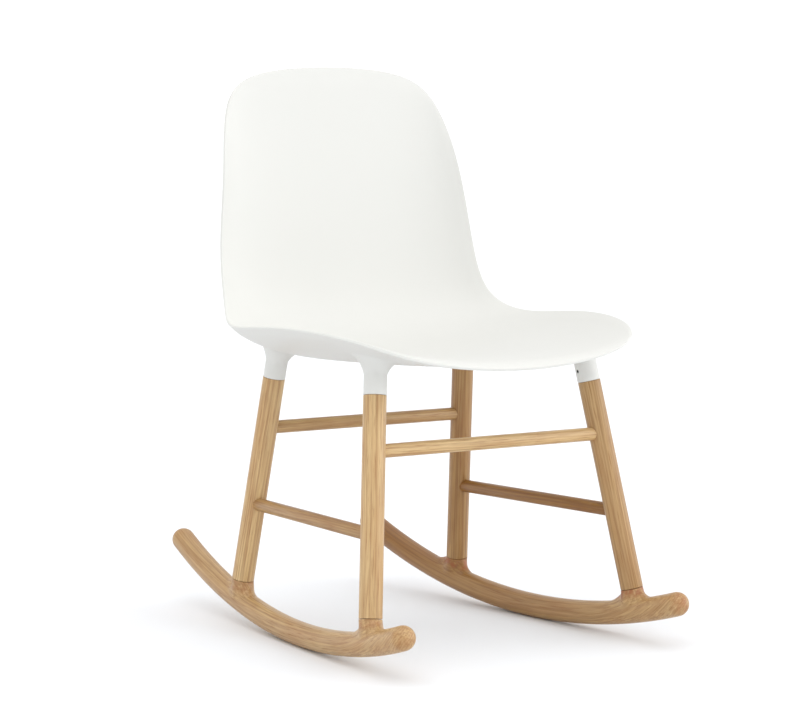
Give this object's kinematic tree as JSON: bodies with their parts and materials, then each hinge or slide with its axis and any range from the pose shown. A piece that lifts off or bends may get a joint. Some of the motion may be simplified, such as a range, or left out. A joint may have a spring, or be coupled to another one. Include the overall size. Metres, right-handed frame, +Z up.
{
  "type": "rocking chair",
  "caption": "Low rocking chair: one-piece moulded plastic seat and back with leg sockets, on splayed round oak legs with rungs and curved round oak rockers.",
  "frame": {"origin": "on the floor, under the middle of the chair's bounding box", "axes": "+Z up, -Y the way the sitter faces, +X the sitter's left"},
  "size_m": [0.4798, 0.6622, 0.7285],
  "materials": {
    "shell": "matte",
    "oak": "satin",
    "beech": "matte",
    "screw_steel": "satin"
  },
  "bodies": {
    "root": {"seat_shell": "shell", "leg_front_left": "oak", "leg_front_right": "oak", "leg_rear_left": "oak", "leg_rear_right": "oak", "rung_front": "oak", "rung_rear": "oak", "rung_left": "oak", "rung_right": "oak", "rocker_left": "oak", "rocker_right": "oak", "dowel_front_left": "beech", "leg_screw_front_left": "screw_steel", "dowel_front_right": "beech", "leg_screw_front_right": "screw_steel", "dowel_rear_left": "beech", "leg_screw_rear_left": "screw_steel", "dowel_rear_right": "beech", "leg_screw_rear_right": "screw_steel"}
  },
  "joints": []
}
